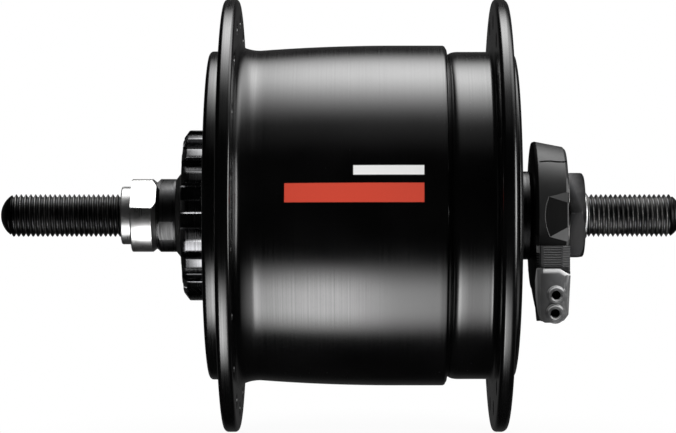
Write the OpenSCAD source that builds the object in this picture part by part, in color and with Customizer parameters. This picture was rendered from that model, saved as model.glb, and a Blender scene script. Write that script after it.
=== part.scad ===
// Bicycle front hub with a claw-pole generator inside and a splined carrier
// for a roller brake. The hub turns on a fixed axle.
//
// Every part is drawn in an axle frame: z runs along the axle towards the
// terminal side, y is up and x points to the rear. on_axle() lays that frame
// down, so that the finished part has its axle along Y (brake side at +Y) and
// Z up. The origin is the middle of the axle. "Left" is the brake side and
// "right" the terminal side.

/* [Axle] */
// Length of the axle over its domed ends
axle_len = 140.8; // [138:0.2:150]
// Crest radius of the axle thread
axle_r = 4.4; // [4.3:0.05:4.45]
// Radius of the thick middle section that carries the generator
core_r = 6.0; // [5.9:0.05:6.1]

/* [Shell] */
// Largest radius of the barrel
shell_r = 35.1; // [34.5:0.1:36.5]
// How much narrower the barrel is at the brake side flange
barrel_drop = 1.2; // [0:0.1:1.6]
// Bore radius of the main shell
shell_bore_r = 32.0; // [31.9:0.05:32.2]

/* [Flanges] */
// Outer radius of both spoke flanges
flange_r = 44.65; // [43.6:0.05:46]
// Thickness of each flange
flange_t = 3.0; // [2.4:0.1:3.2]
// Diameter of the circle of spoke holes
spoke_pcd = 80; // [78:0.5:81]
// Radius of one spoke hole
spoke_hole_r = 1.3; // [1.1:0.05:1.5]
// Spoke holes in each flange
spoke_count = 18; // [14:1:20]

/* [Brake carrier] */
// Outer radius of the splines
spline_r = 17.6; // [17.2:0.1:18.4]
// Root radius between two splines
spline_root_r = 15.7; // [15.4:0.1:16.2]
// Number of splines
spline_count = 18; // [12:1:20]
// Width of one spline, in degrees
spline_deg = 8.2; // [6:0.2:9]

/* [Bearings] */
// Radius of the bearing balls
ball_r = 2.381; // [2.3:0.001:2.4]
// Pitch radius of the brake side bearing
left_pitch_r = 10.4; // [10.38:0.01:10.42]
// Pitch radius of the terminal side bearing
right_pitch_r = 11.6; // [11.58:0.01:11.62]
// Balls in the brake side bearing
left_ball_count = 12; // [9:1:12]
// Balls in the terminal side bearing
right_ball_count = 13; // [9:1:13]

/* [Generator] */
// Claws on each of the two claw plates
claw_count = 14; // [8:1:14]
// Outer radius of the claws
claw_r = 27.4; // [27:0.1:27.7]
// Inner radius of the ring of magnets
magnet_r = 28.0; // [27.9:0.1:28.4]
// Number of magnet arcs
magnet_count = 4; // [2:1:8]

/* [Nuts] */
// Width across flats of the brake side lock nut
left_nut_af = 13; // [12:0.5:14.5]
// Width across flats of the terminal side lock nut
right_nut_af = 17; // [16:0.5:18]

/* [Connector] */
// Radius of the terminal housing at its wide end
drum_r = 15.3; // [15:0.1:15.6]
// Radius of one terminal pin
pin_r = 0.55; // [0.45:0.05:0.6]
// Radius of the two wire entries in the plug cover
wire_entry_r = 0.9; // [0.7:0.1:1]

/* [Hidden] */

$fn = 64;
fit = 0.02;                  // gap of a close fit between two parts
seat_gap = 0.03;             // gap between the shell and what sits in it
nut_bore = axle_r + fit;     // threads are drawn as plain crest cylinders

// Axle
dome_h = 2.6;                // height of the domed axle ends
dome_r = (axle_r * axle_r + dome_h * dome_h) / (2 * dome_h);
left_nut_end = -45.3;        // outboard faces of the lock nuts
right_nut_end = 50;

// Bearings
left_race_z = -27.6;
right_race_z = 31.5;
race_r = ball_r + 0.029;     // groove radius round a ball
left_cup_seat_r = 14;        // bores that hold the bearing cups
right_cup_seat_r = 16;

// Generator
left_plate_z = [-16, -13.5];
right_plate_z = [11, 13.5];
core_sleeve_r = 9.5;         // outer radius of the stator core
bobbin_r = 10.5;             // radius the coil is wound on
yoke_r = 30.9;               // inner radius of the magnet yoke
magnet_gap_deg = 4;

// Shell
left_flange_z = -22.43;      // middle of each flange
right_flange_z = 32.61;
barrel_peak = 11;            // where the barrel is widest
barrel_span = 29.5;          // distance over which it narrows by barrel_drop
seam_z = 21.9;               // where the two shell parts meet
neck_r = 33.8;               // shell radius beside the right flange
cap_r = 33.9;                // rim of the brake side end cap
cap_face_z = -27;
cap_inner_z = -22.6;         // inboard end of the cap's bore
carrier_hub_r = 15;          // part of the spline ring inside the cap
spline_face_z = -32.3;
cap_seat_r = shell_bore_r - seat_gap;
right_bore_r = 30;
cover_seat_r = right_bore_r - seat_gap;

// O-rings and their grooves
o_ring_r = 0.52;
o_groove_depth = 1.07;
left_o_groove = [-21.0, -19.6];
right_o_groove = [31.2, 32.6];

// Leads and terminals; each pair runs from the inboard pin outwards
lead_r = 0.5;
lead_x = [0.65, -0.65];
coil_exit_y = -12;           // where the leads leave the coil
lead_bend_z = 19.5;          // where they turn in to the axle
wire_y = -3.78;              // depth of the wires in the axle groove
terminal_y = -7.0;           // where they run across to the pins
pin_x = -11.5;               // terminal pins, towards the front
pin_z = [42.0, 44.2];
socket_r = pin_r + 0.09;     // bore round a pin in the plug
contact_y = [-15.9, -19.2];  // lower ends of the contact sockets
wire_entries = [[-15.95, 43.2], [-19.6, 43.0]];  // [y, z]

// Outlines of the housing and plug, seen along the axle or from the side

// [x, y] of the housing's tongue
tongue_outline = [
    [10.1, -11.5], [0, -14.9], [-6.4, -17.0], [-9.6, -17.9], [-12.7, -18.65],
    [-15.8, -20.6], [-18.8, -21.8], [-18.8, -9.5], [-14.8, -3.9], [0, 0]];
// [x, z] of the scoop in the drum
scoop_outline = [[-16.2, 41.4], [-15.0, 41.4], [-12.3, 46.6], [-16.2, 46.6]];
// [x, z] of the plug's head, chamfered at its outer front corner
plug_head_plan = [
    [-17.8, 40.05], [-17.8, 44.9], [-16.6, 46.15], [-8.05, 46.15], [-8.05, 40.05]];
// [y, z] of the plug cover
cover_side = [
    [-10.5, 40.05], [-10.5, 44.1], [-11.9, 46.15], [-19.9, 45.6],
    [-21.0, 44.6], [-21.5, 43.4], [-21.5, 40.9], [-20.9, 40.05]];
// [x, z] of the plug cover
cover_plan = [
    [-18, 40.5], [-18, 44.9], [-17.0, 46.3], [-8.1, 46.3], [-8.1, 40.0], [-17.5, 40.0]];

// ---------- helpers ----------

module on_axle() rotate([90, 0, 0]) children();

// A turned part: points are [radius, z]
module lathe(points) rotate_extrude($fn = 96) polygon(points);

function arc(centre_r, centre_z, radius, start, end, steps = 6) =
    [for (i = [0:steps]) let (angle = start + (end - start) * i / steps)
        [centre_r + radius * cos(angle), centre_z + radius * sin(angle)]];

// Lathe points of a square groove from z low to high in a cylinder
function groove(radius, low, high, depth) =
    [[radius, low], [radius - depth, low], [radius - depth, high], [radius, high]];

module ring(inner, outer, low, high)
    lathe([[inner, low], [outer, low], [outer, high], [inner, high]]);

// A round-section ring
module torus(pitch, z, radius)
    rotate_extrude($fn = 96) translate([pitch, z]) circle(r = radius);

// Part of a ring, sweeping a number of degrees from angle start
module sector(inner, outer, low, high, start, sweep)
    rotate([0, 0, start]) rotate_extrude(angle = sweep)
        translate([inner, low]) square([outer - inner, high - low]);

// Copies evenly spaced round the axle, from angle first
module around(count, first = 0)
    for (i = [0:count - 1])
        rotate([0, 0, first + i * 360 / count]) children();

// A box given by its [low, high] range on each axis
module block(x, y, z)
    translate([x[0], y[0], z[0]]) cube([x[1] - x[0], y[1] - y[0], z[1] - z[0]]);

// The space between two parallel wrench flats, their normal at the angle
module flats(across, angle, low, high)
    rotate([0, 0, angle]) block([-across / 2, across / 2], [-30, 30], [low, high]);

// A straight round bar from start along the "x", "y" or "z" axis
module bar(start, axis, length, radius)
    translate(start)
        rotate(axis == "x" ? [0, 90, 0] : axis == "y" ? [-90, 0, 0] : [0, 0, 0])
            cylinder(r = radius, h = length);

// ---------- bearing shapes ----------
// pitch and z place the ball centres; out is +1 or -1, the outboard side

module race(pitch, z) torus(pitch, z, race_r);

module balls(pitch, z, count, radius = ball_r)
    around(count) translate([pitch, 0, z]) sphere(r = radius);

// Pressed ring that keeps the balls apart
module retainer(pitch, z, count, out) difference() {
    lathe([[pitch - 1.98, z - out * 2.72], [pitch - 2.62, z - out * 2.08],
           [pitch + 0.08, z + out * 0.62], [pitch + 0.72, z - out * 0.02]]);
    balls(pitch, z, count, ball_r + 0.07);
}

module bearing_cup(pitch, z, out, outer) difference() {
    lathe([[outer, z + out * 2.6], [outer, z - out * 5.0],
           [pitch - 1.2, z - out * 5.0], [pitch - 1.2, z - out * 2.6],
           [pitch - 0.7, z - out * 2.0], [pitch + 2.2, z + out * 0.4],
           [pitch + 2.5, z + out * 2.6]]);
    race(pitch, z);
}

// Lathe points of a cone's inboard end, from the ball track to the bore
function cone_nose(pitch, z, out) =
    [[pitch - 0.5, z + out * 2.1], [pitch - 2.1, z - out * 0.7],
     [pitch - 3.3, z - out * 3.0], [nut_bore, z - out * 3.0]];

// ---------- fixed axle ----------

// Lathe points of a domed end; side is -1 (left) or +1 (right)
function dome(side, steps) =
    [for (i = steps) let (angle = i * asin(axle_r / dome_r) / 6)
        [dome_r * sin(angle), side * (axle_len / 2 - dome_r * (1 - cos(angle)))]];

// A narrow relief under each lock nut marks where the free thread begins
module axle() color("#2c2c2e") on_axle() difference() {
    lathe(concat(
        dome(-1, [0:6]),
        groove(axle_r, left_nut_end + 0.1, left_nut_end + 0.9, 0.3),
        [[axle_r, -22], [core_r, -22]],
        groove(core_r, -17.4, -16.05, 0.6),
        [[core_r, 24], [axle_r, 24]],
        groove(axle_r, right_nut_end - 0.9, right_nut_end - 0.1, 0.3),
        dome(1, [6:-1:0])));
    // groove for the two lead wires
    block([-1.3, 1.3], [-8, -3.2], [18, 45.2]);
}

module left_cone() color("#1a1a1b") on_axle() difference() {
    intersection() {
        lathe(concat(
            [[nut_bore, -38.0], [6.9, -38.0], [7.54, -37.3], [7.54, -33.85],
             [7.0, -33.85], [7.0, -31.7], [left_pitch_r - 0.62, left_race_z - 3.4]],
            cone_nose(left_pitch_r, left_race_z, -1)));
        union() {
            intersection() {
                flats(14, 113, -38.5, -34.0);
                flats(14.55, 206, -38.5, -34.0);
            }
            // keeps the rest of the cone round
            translate([0, 0, -34.4]) cylinder(r = 14, h = 12);
        }
    }
    race(left_pitch_r, left_race_z);
}

module left_lock_nut() color("#d4d4d2") on_axle() intersection() {
    lathe([[nut_bore, left_nut_end], [5.7, left_nut_end], [5.97, -45.0], [5.97, -43.2],
           [7.2, -43.2], [7.52, -42.9], [7.52, -38.8], [6.85, -38.03], [nut_bore, -38.03]]);
    union() {
        flats(left_nut_af, 138, -43.3, -38.0);
        translate([0, 0, -46]) cylinder(r = 6.5, h = 3);
    }
}

module left_dust_seal() color("#1d1d1e") on_axle()
    lathe([[7.03, -33.82], [7.76, -33.82], [8.8, -33.0], [12.4, -32.5],
           [12.4, -31.95], [8.7, -32.4], [7.03, -32.8]]);

module right_cone() color("#1a1a1b") on_axle() difference() {
    lathe(concat(
        [[nut_bore, 39.27], [8.7, 39.27], [9.13, 38.8], [9.13, 34.6],
         [right_pitch_r - 0.62, 34.3]],
        cone_nose(right_pitch_r, right_race_z, 1)));
    race(right_pitch_r, right_race_z);
}

module right_dust_seal() color("#1d1d1e") on_axle()
    lathe([[9.15, 34.75], [9.15, 36.1], [9.9, 36.1], [10.2, 35.65], [13.9, 35.4],
           [13.9, 34.85], [10.2, 34.75]]);

module right_lock_nut() color("#3b3b3d") on_axle() difference() {
    intersection() {
        translate([0, 0, 46.72]) rotate([0, 0, -3])
            cylinder(r = right_nut_af / sqrt(3), h = right_nut_end - 46.72, $fn = 6);
        lathe([[0, 46.7], [9.7, 46.7], [9.9, 49.0], [8.3, right_nut_end], [0, right_nut_end]]);
    }
    translate([0, 0, 45]) cylinder(r = nut_bore, h = 6);
}

module terminal_washer() color("#6d6d70") on_axle()
    lathe([[nut_bore, 46.22], [8.7, 46.22], [8.8, 46.3], [8.8, 46.6],
           [8.7, 46.7], [nut_bore, 46.7]]);

// ---------- terminals and leads ----------

module terminal_housing() color("#1b1b1c") on_axle() difference() {
    union() {
        lathe([[0, 39.3], [drum_r - 0.2, 39.3], [drum_r, 39.5], [drum_r, 39.9],
               [drum_r - 1.1, 45.6], [drum_r - 1.6, 46.2], [0, 46.2]]);
        // tongue that backs the plug
        translate([0, 0, 39.3]) linear_extrude(0.7) polygon(tongue_outline);
        // wall behind the plug, which it slides along
        block([-8.0, -5.8], [-16.6, -4.6], [39.6, 45.8]);
    }
    bar([0, 0, 39], "z", 8, nut_bore);
    // scoop in the front of the drum
    translate([0, 4.6, 0]) rotate([90, 0, 0]) linear_extrude(9.2) polygon(scoop_outline);
    // wire channels, from the axle groove to the pins
    block([-1.4, 1.4], [terminal_y - 0.7, -3.2], [40.9, 45.1]);
    for (z = pin_z) {
        block([pin_x + 0.3, pin_x + 11.8], [terminal_y - 0.7, terminal_y + 0.7],
              [z - 0.7, z + 0.7]);
        bar([pin_x, -12, z], "y", 5.78, pin_r + fit);
    }
}

module terminal_pins() color("#c9a24a") on_axle()
    for (z = pin_z)
        translate([pin_x, 0, z]) rotate([90, 0, 0])
            lathe([[0, 6.24], [pin_r, 6.24], [pin_r, 13.6], [pin_r - 0.25, 14], [0, 14]]);

// One insulated lead: coil, axle groove, terminal
module lead(x, end_z) {
    coil_end_z = 9.85;
    pin_side_x = pin_x + pin_r + 0.03;
    bar([x, coil_exit_y, coil_end_z], "z", lead_bend_z - coil_end_z, lead_r);
    bar([x, coil_exit_y, lead_bend_z], "y", wire_y - coil_exit_y, lead_r);
    bar([x, wire_y, lead_bend_z], "z", end_z - lead_bend_z, lead_r);
    bar([x, terminal_y, end_z], "y", wire_y - terminal_y, lead_r);
    bar([pin_side_x, terminal_y, end_z], "x", x - pin_side_x, lead_r);
    // rounded corners
    for (corner = [[coil_exit_y, lead_bend_z], [wire_y, lead_bend_z],
                   [wire_y, end_z], [terminal_y, end_z]])
        translate([x, corner[0], corner[1]]) sphere(r = lead_r);
}

module lead_wires() color("#b8472f") on_axle()
    for (i = [0:1]) lead(lead_x[i], pin_z[i]);

// ---------- generator ----------

// Hole for the leads in the right end of the coil and its claw plate
module lead_hole() translate([0, coil_exit_y, 8]) cylinder(r = 1.4, h = 8);

// Claw plate: a disc over plate_z = [low, high], with claws that reach over
// the coil as far as z = tip
module claw_plate(plate_z, tip, first) {
    pitch = 360 / claw_count;
    low = plate_z[0];
    high = plate_z[1];
    claw_z = tip > high ? [low + 0.3, tip] : [tip, high - 0.3];
    ring(core_r + fit, 23.9, low, high);
    around(claw_count, first) {
        sector(23.0, claw_r - 0.3, low, high, -pitch * 0.21, pitch * 0.42);
        sector(25.2, claw_r, claw_z[0], claw_z[1], -pitch * 0.17, pitch * 0.34);
    }
}

module left_claw_plate() color("#8f9296") on_axle() claw_plate(left_plate_z, 9.6, 0);

module right_claw_plate() color("#8f9296") on_axle() difference() {
    claw_plate(right_plate_z, -12.1, 180 / claw_count);
    lead_hole();
}

module stator_core() color("#7d8085") on_axle()
    ring(core_r + fit, core_sleeve_r, left_plate_z[1] + fit, right_plate_z[0] - fit);

module coil_bobbin() color("#e8e4d6") on_axle() difference() {
    bore_r = core_sleeve_r + 0.05;
    lathe([[bore_r, -13.4], [24, -13.4], [24, -12.4], [bobbin_r, -12.4], [bobbin_r, 9.9],
           [24, 9.9], [24, 10.9], [bore_r, 10.9]]);
    lead_hole();
}

module coil_winding() color("#b4642c") on_axle()
    lathe([[bobbin_r + 0.05, -12.35], [22.7, -12.35], [23, -12.0], [23, 9.5],
           [22.7, 9.8], [bobbin_r + 0.05, 9.8]]);

module stator_clamp_nut() color("#9a9da1") on_axle() difference() {
    intersection() {
        translate([0, 0, right_plate_z[1] + fit]) cylinder(r = 16 / sqrt(3), h = 4.0, $fn = 6);
        lathe([[0, 13.5], [9.4, 13.5], [9.4, 16.7], [8.1, 17.52], [0, 17.52]]);
    }
    translate([0, 0, 12]) cylinder(r = core_r + fit, h = 8);
}

module stator_snap_ring() color("#55585c") on_axle()
    sector(core_r - 0.58, 7.6, -17.35, -16.1, -65, 310);

module magnet_yoke() color("#6f7277") on_axle()
    ring(yoke_r, shell_bore_r - seat_gap, -16, 14);

module magnets() color("#3f4145") on_axle()
    around(magnet_count, magnet_gap_deg / 2)
        sector(magnet_r, yoke_r - fit, -14, 13, 0, 360 / magnet_count - magnet_gap_deg);

// ---------- hub shell, which turns ----------

function barrel(z) =
    shell_r - barrel_drop * pow(max(0, barrel_peak - z) / barrel_span, 2);

// Rim of a flange centred on z: a flat land between two rounded edges
function flange_rim(z, edge = 0.85) = concat(
    arc(flange_r - edge, z - flange_t / 2 + edge, edge, -90, 0, 5),
    arc(flange_r - edge, z + flange_t / 2 - edge, edge, 0, 90, 5));

module spoke_holes(z, first)
    around(spoke_count, first)
        translate([spoke_pcd / 2, 0, z - 4]) cylinder(r = spoke_hole_r, h = 8);

module hub_shell_main() color("#161617") on_axle() difference() {
    inner_z = left_flange_z + flange_t / 2;
    root_r = barrel(inner_z + 2.6);
    lathe(concat(
        [[shell_bore_r, left_flange_z - flange_t / 2]],
        flange_rim(left_flange_z),
        arc(root_r + 2.79, inner_z + 2.8, 2.8, 270, 184),
        [for (z = [-17:2:19]) [barrel(z), z]],
        arc(shell_r - 0.6, 20.8, 0.6, 0, 75),
        [[shell_r - 0.8, 21.6], [33.42, 21.75], [33.3, seam_z], [shell_bore_r, seam_z]]));
    spoke_holes(left_flange_z, 189.3);
}

module hub_shell_right() color("#161617") on_axle() difference() {
    fillet_r = 1.3;
    spigot_r = shell_bore_r - seat_gap;
    shoulder_z = seam_z + seat_gap;
    lathe(concat(
        [[right_bore_r, 15], [spigot_r, 15], [spigot_r, shoulder_z], [33.2, shoulder_z],
         [33.5, 22.3], [33.7, 22.95], [neck_r, 23.9]],
        arc(neck_r + fillet_r, right_flange_z - flange_t / 2 - fillet_r, fillet_r, 180, 90),
        flange_rim(right_flange_z),
        [[right_bore_r, right_flange_z + flange_t / 2]]));
    spoke_holes(right_flange_z, 179);
}

module brake_side_end_cap() color("#181819") on_axle() {
    bore_r = carrier_hub_r + fit;
    seat_z = left_flange_z - flange_t / 2 - seat_gap;
    lathe(concat(
        [[bore_r, cap_face_z]],
        arc(cap_r - 0.8, cap_face_z + 0.8, 0.8, 270, 360),
        [[cap_r, seat_z], [cap_seat_r, seat_z]],
        groove(cap_seat_r, left_o_groove[0], left_o_groove[1], o_groove_depth),
        [[cap_seat_r, -17.4], [31.6, -17.0], [29.5, -17.0], [29.5, -24.0],
         [20.5, -24.0], [19.0, cap_inner_z], [bore_r, cap_inner_z]]));
}

module brake_spline_ring() color("#141415") on_axle() {
    back_z = cap_face_z - fit;
    lathe([[12.6, spline_face_z], [spline_root_r - 0.4, spline_face_z],
           [spline_root_r, -31.9], [spline_root_r, back_z], [carrier_hub_r, back_z],
           [carrier_hub_r, cap_inner_z], [left_cup_seat_r, cap_inner_z],
           [left_cup_seat_r, -30.6], [12.6, -31.3]]);
    around(spline_count, 173.7 - spline_deg / 2)
        rotate_extrude(angle = spline_deg)
            polygon([[15.2, spline_face_z], [spline_r - 1.5, spline_face_z],
                     [spline_r, -31.2], [spline_r, back_z], [15.2, back_z]]);
}

module right_end_cover() color("#151516") on_axle() {
    seat_z = right_flange_z + flange_t / 2 + fit;
    lathe(concat(
        [[14.2, 35.8], [14.2, 34.2], [right_cup_seat_r, 34.2], [right_cup_seat_r, 26.5],
         [18.5, 26.5], [18.5, 33.0], [27.5, 33.0], [27.5, 30.0], [29.6, 30.0],
         [cover_seat_r, 30.4]],
        groove(cover_seat_r, right_o_groove[0], right_o_groove[1], o_groove_depth),
        [[cover_seat_r, seat_z], [33.75, seat_z], [33.6, 35.2], [33.0, 35.65],
         [32.4, 35.8]]));
}

// An O-ring resting just clear of the floor of its groove
module o_ring(seat_r, groove_z)
    torus(seat_r - o_groove_depth + o_ring_r + fit, (groove_z[0] + groove_z[1]) / 2, o_ring_r);

module left_o_ring() color("#2a2a2a") on_axle() o_ring(cap_seat_r, left_o_groove);

module right_o_ring() color("#2a2a2a") on_axle() o_ring(cover_seat_r, right_o_groove);

// ---------- bearing cups and ball sets ----------

module left_bearing_cup() color("#b9bcc0") on_axle()
    bearing_cup(left_pitch_r, left_race_z, -1, left_cup_seat_r - fit);

module right_bearing_cup() color("#b9bcc0") on_axle()
    bearing_cup(right_pitch_r, right_race_z, 1, right_cup_seat_r - fit);

module left_balls() color("#dcdee0") on_axle()
    balls(left_pitch_r, left_race_z, left_ball_count);

module left_ball_retainer() color("#a9834a") on_axle()
    retainer(left_pitch_r, left_race_z, left_ball_count, -1);

module right_balls() color("#dcdee0") on_axle()
    balls(right_pitch_r, right_race_z, right_ball_count);

module right_ball_retainer() color("#a9834a") on_axle()
    retainer(right_pitch_r, right_race_z, right_ball_count, 1);

// ---------- cable plug ----------

// Both contacts, each a socket for the pin, a leg and a foot that grips the
// wire. grow makes the cavities that hold them.
module contacts(grow = 0)
    for (i = [0:1]) {
        z = pin_z[i];
        low = contact_y[i];
        bar([pin_x, low - grow, z], "y", -10.9 - low + grow * 2, 0.8 + grow);
        block([-16.9 - grow, pin_x], [low - grow, low + 0.4 + grow],
              [z - 0.3 - grow, z + 0.3 + grow]);
        block([-17.2 - grow, -16.8 + grow], [low - 1.0 - grow, low + 0.9 + grow],
              [41.3 - grow, 44.9 + grow]);
    }

module pin_sockets(length)
    for (z = pin_z) bar([pin_x, -15.2, z], "y", length, socket_r);

module plug_contacts() color("#d1a446") on_axle() difference() {
    contacts();
    pin_sockets(8);
}

// Seat that keeps the plug clear of the terminal housing's drum
module drum_seat()
    lathe([[0, 38], [drum_r + 0.06, 38], [drum_r + 0.06, 39.92],
           [drum_r - 1.04, 45.62], [drum_r - 1.5, 46.4], [0, 46.4]]);

module plug_body() color("#222223") on_axle() difference() {
    union() {
        // ribbed head
        translate([0, -6.1, 0]) rotate([90, 0, 0]) linear_extrude(4.25)
            polygon(plug_head_plan);
        // core inside the cover
        block([-16.8, -9.3], [-20.0, -10.0], [40.97, 45.18]);
    }
    drum_seat();
    // slots between the finger ribs, on the front and outboard faces
    for (i = [0:6]) {
        slot_y = [-6.85 - i * 0.5, -6.6 - i * 0.5];
        block([-18.2, -17.55], slot_y, [40.7, 44.6]);
        block([-17.5, -11.5], slot_y, [45.9, 46.9]);
    }
    contacts(0.03);
    pin_sockets(9.2);
}

module plug_cover() color("#5b5c5e") on_axle() difference() {
    union() {
        intersection() {
            translate([-18, 0, 0]) rotate([90, 0, 90]) linear_extrude(9.9)
                polygon(cover_side);
            translate([0, -10, 0]) rotate([90, 0, 0]) linear_extrude(12)
                polygon(cover_plan);
        }
        // bosses round the wire entries
        for (entry = wire_entries) bar([-18.45, entry[0], entry[1]], "x", 1.0, 1.7);
    }
    drum_seat();
    // room for the plug's core
    block([-17.3, -9.2], [-20.6, -10], [40.9, 45.25]);
    for (entry = wire_entries) bar([-19, entry[0], entry[1]], "x", 3, wire_entry_r);
}

axle();
left_cone();
left_lock_nut();
left_dust_seal();
right_cone();
right_dust_seal();
right_lock_nut();
terminal_washer();
terminal_housing();
terminal_pins();
lead_wires();
left_claw_plate();
right_claw_plate();
stator_core();
coil_bobbin();
coil_winding();
stator_clamp_nut();
stator_snap_ring();
hub_shell_main();
hub_shell_right();
brake_side_end_cap();
brake_spline_ring();
right_end_cover();
left_bearing_cup();
right_bearing_cup();
magnets();
magnet_yoke();
left_o_ring();
right_o_ring();
left_balls();
left_ball_retainer();
right_balls();
right_ball_retainer();
plug_body();
plug_contacts();
plug_cover();
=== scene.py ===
"""A bicycle hub dynamo: black shell, brake spline, threaded axle, terminal housing and cable plug.

The design is in the axle frame: millimetres, x to the rear, y up, z along the axle to the
terminal side. The row frame is in metres: x to the rear, Z up and the terminal side at -Y.
The camera looks from the front, along +x, so the terminal side is on the right.
"""
import math
from contextlib import contextmanager
from functools import cached_property

import bmesh
import bpy
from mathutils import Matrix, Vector

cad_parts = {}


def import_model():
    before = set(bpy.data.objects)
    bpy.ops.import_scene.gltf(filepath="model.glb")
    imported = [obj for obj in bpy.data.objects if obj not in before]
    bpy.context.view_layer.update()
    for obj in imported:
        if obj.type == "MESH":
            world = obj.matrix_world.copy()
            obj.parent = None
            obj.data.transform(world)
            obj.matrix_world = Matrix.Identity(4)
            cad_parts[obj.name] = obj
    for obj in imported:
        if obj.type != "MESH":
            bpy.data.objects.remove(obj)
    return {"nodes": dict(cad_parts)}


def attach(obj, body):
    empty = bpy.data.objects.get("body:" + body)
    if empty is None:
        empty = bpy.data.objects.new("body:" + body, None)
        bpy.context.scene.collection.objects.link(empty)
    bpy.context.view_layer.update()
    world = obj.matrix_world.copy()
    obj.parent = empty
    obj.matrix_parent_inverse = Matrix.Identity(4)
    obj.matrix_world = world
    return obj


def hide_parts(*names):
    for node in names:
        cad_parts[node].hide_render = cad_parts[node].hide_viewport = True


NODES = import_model()["nodes"]
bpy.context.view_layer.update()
scene = bpy.context.scene

SHARP = 32  # degrees between faces above which an edge shades sharp

# --------------------------------------------------------------------------
# Mesh helpers
# --------------------------------------------------------------------------


def row_point(x, y, z):
    """A point of the axle frame, in the row frame."""
    return Vector((x, -z, y)) * 0.001


def along_z(u, v, w):
    return u, v, w


def along_y(u, v, w):
    return u, w, v


def along_x(u, v, w):
    return w, u, v


def link(name, mesh):
    ob = bpy.data.objects.new(name, mesh)
    scene.collection.objects.link(ob)
    return ob


@contextmanager
def editing(mesh):
    bm = bmesh.new()
    bm.from_mesh(mesh)
    yield bm
    bm.to_mesh(mesh)
    bm.free()


def smooth(mesh, angle):
    mesh.shade_smooth()
    mesh.set_sharp_from_angle(angle=math.radians(angle))


def raw_object(name, points, faces):
    mesh = bpy.data.meshes.new(name)
    mesh.from_pydata([row_point(*point) for point in points], [], faces)
    return link(name, mesh)


def solid(name, points, faces, angle=SHARP):
    """A cleaned and smoothed object from points in the axle frame."""
    ob = raw_object(name, points, faces)
    with editing(ob.data) as bm:
        bmesh.ops.remove_doubles(bm, verts=bm.verts, dist=2e-7)
        bmesh.ops.dissolve_degenerate(bm, edges=bm.edges, dist=1e-7)
        bmesh.ops.recalc_face_normals(bm, faces=bm.faces)
    smooth(ob.data, angle)
    return ob


def skin(name, rings, angle=SHARP):
    """A solid over rings of points, joined in order and round to the first.

    A ring of one point is a pole; two poles side by side are left unjoined.
    """
    ids, faces, count = [], [], 0
    for ring in rings:
        ids.append(range(count, count + len(ring)))
        count += len(ring)
    for low, high in zip(ids, ids[1:] + ids[:1]):
        n = max(len(low), len(high))
        if n == 1:
            continue
        for k in range(n):
            after = (k + 1) % n
            if len(low) == 1:
                faces.append((low[0], high[after], high[k]))
            elif len(high) == 1:
                faces.append((low[k], low[after], high[0]))
            else:
                faces.append((low[k], low[after], high[after], high[k]))
    return solid(name, [point for ring in rings for point in ring], faces, angle)


def revolve(name, profile, n=160, place=along_z):
    """A turned piece from a profile of (radius, place along its axis)."""
    rings = []
    for r, w in profile:
        if r < 1e-6:
            rings.append([place(0, 0, w)])
            continue
        turns = [2 * math.pi * k / n for k in range(n)]
        rings.append([place(r * math.cos(q), r * math.sin(q), w) for q in turns])
    return skin(name, rings)


def bridge(name, low, high):
    """A solid between two outlines with the same number of points."""
    n = len(low)
    faces = [tuple(range(n)), tuple(range(n, 2 * n))]
    faces += [(i, (i + 1) % n, (i + 1) % n + n, i + n) for i in range(n)]
    return solid(name, low + high, faces)


def prism(name, outline, span, place=along_z):
    """A 2D outline extruded over span; place(u, v, w) puts it into the axle frame."""
    return bridge(name, *([place(u, v, w) for u, v in outline] for w in span))


def block(name, x, y, z):
    outline = [(x[0], y[0]), (x[1], y[0]), (x[1], y[1]), (x[0], y[1])]
    return prism(name, outline, z)


def rod(name, start, direction, length, r, n=48, end_r=None):
    """A round bar, tapered where end_r is given."""
    axis = Vector(direction).normalized()
    u = axis.orthogonal().normalized()
    v = axis.cross(u)
    start = Vector(start)
    turns = [2 * math.pi * k / n for k in range(n)]
    ends = ((start, r), (start + axis * length, r if end_r is None else end_r))
    return bridge(name, *(
        [centre + (u * math.cos(q) + v * math.sin(q)) * radius for q in turns]
        for centre, radius in ends
    ))


def arc(cx, cy, r, start, end, n):
    """n + 1 points of an arc; angles in degrees."""
    turns = [math.radians(start + (end - start) * i / n) for i in range(n + 1)]
    return [(cx + r * math.cos(q), cy + r * math.sin(q)) for q in turns]


def rounded(points, seg=4):
    """A closed 2D outline whose points may carry a fillet radius as a third number."""
    out = []
    n = len(points)
    for i, point in enumerate(points):
        radius = point[2] if len(point) > 2 else 0
        corner = Vector(point[:2])
        if radius <= 0:
            out.append((corner.x, corner.y))
            continue
        back = Vector(points[i - 1][:2]) - corner
        ahead = Vector(points[(i + 1) % n][:2]) - corner
        back_length, ahead_length = back.length, ahead.length
        back.normalize()
        ahead.normalize()
        opening = math.acos(max(-1.0, min(1.0, back.dot(ahead))))
        if opening > math.radians(178) or opening < 1e-3:
            out.append((corner.x, corner.y))
            continue
        # the fillet takes less than half of either side
        reach = min(radius / math.tan(opening / 2), 0.48 * back_length, 0.48 * ahead_length)
        r = reach * math.tan(opening / 2)
        centre = corner + (back + ahead).normalized() * (r / math.sin(opening / 2))
        first, last = corner + back * reach - centre, corner + ahead * reach - centre
        start, end = math.atan2(first.y, first.x), math.atan2(last.y, last.x)
        turn = (end - start + math.pi) % (2 * math.pi) - math.pi
        for k in range(seg + 1):
            q = start + turn * k / seg
            out.append((centre.x + r * math.cos(q), centre.y + r * math.sin(q)))
    return out


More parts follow.
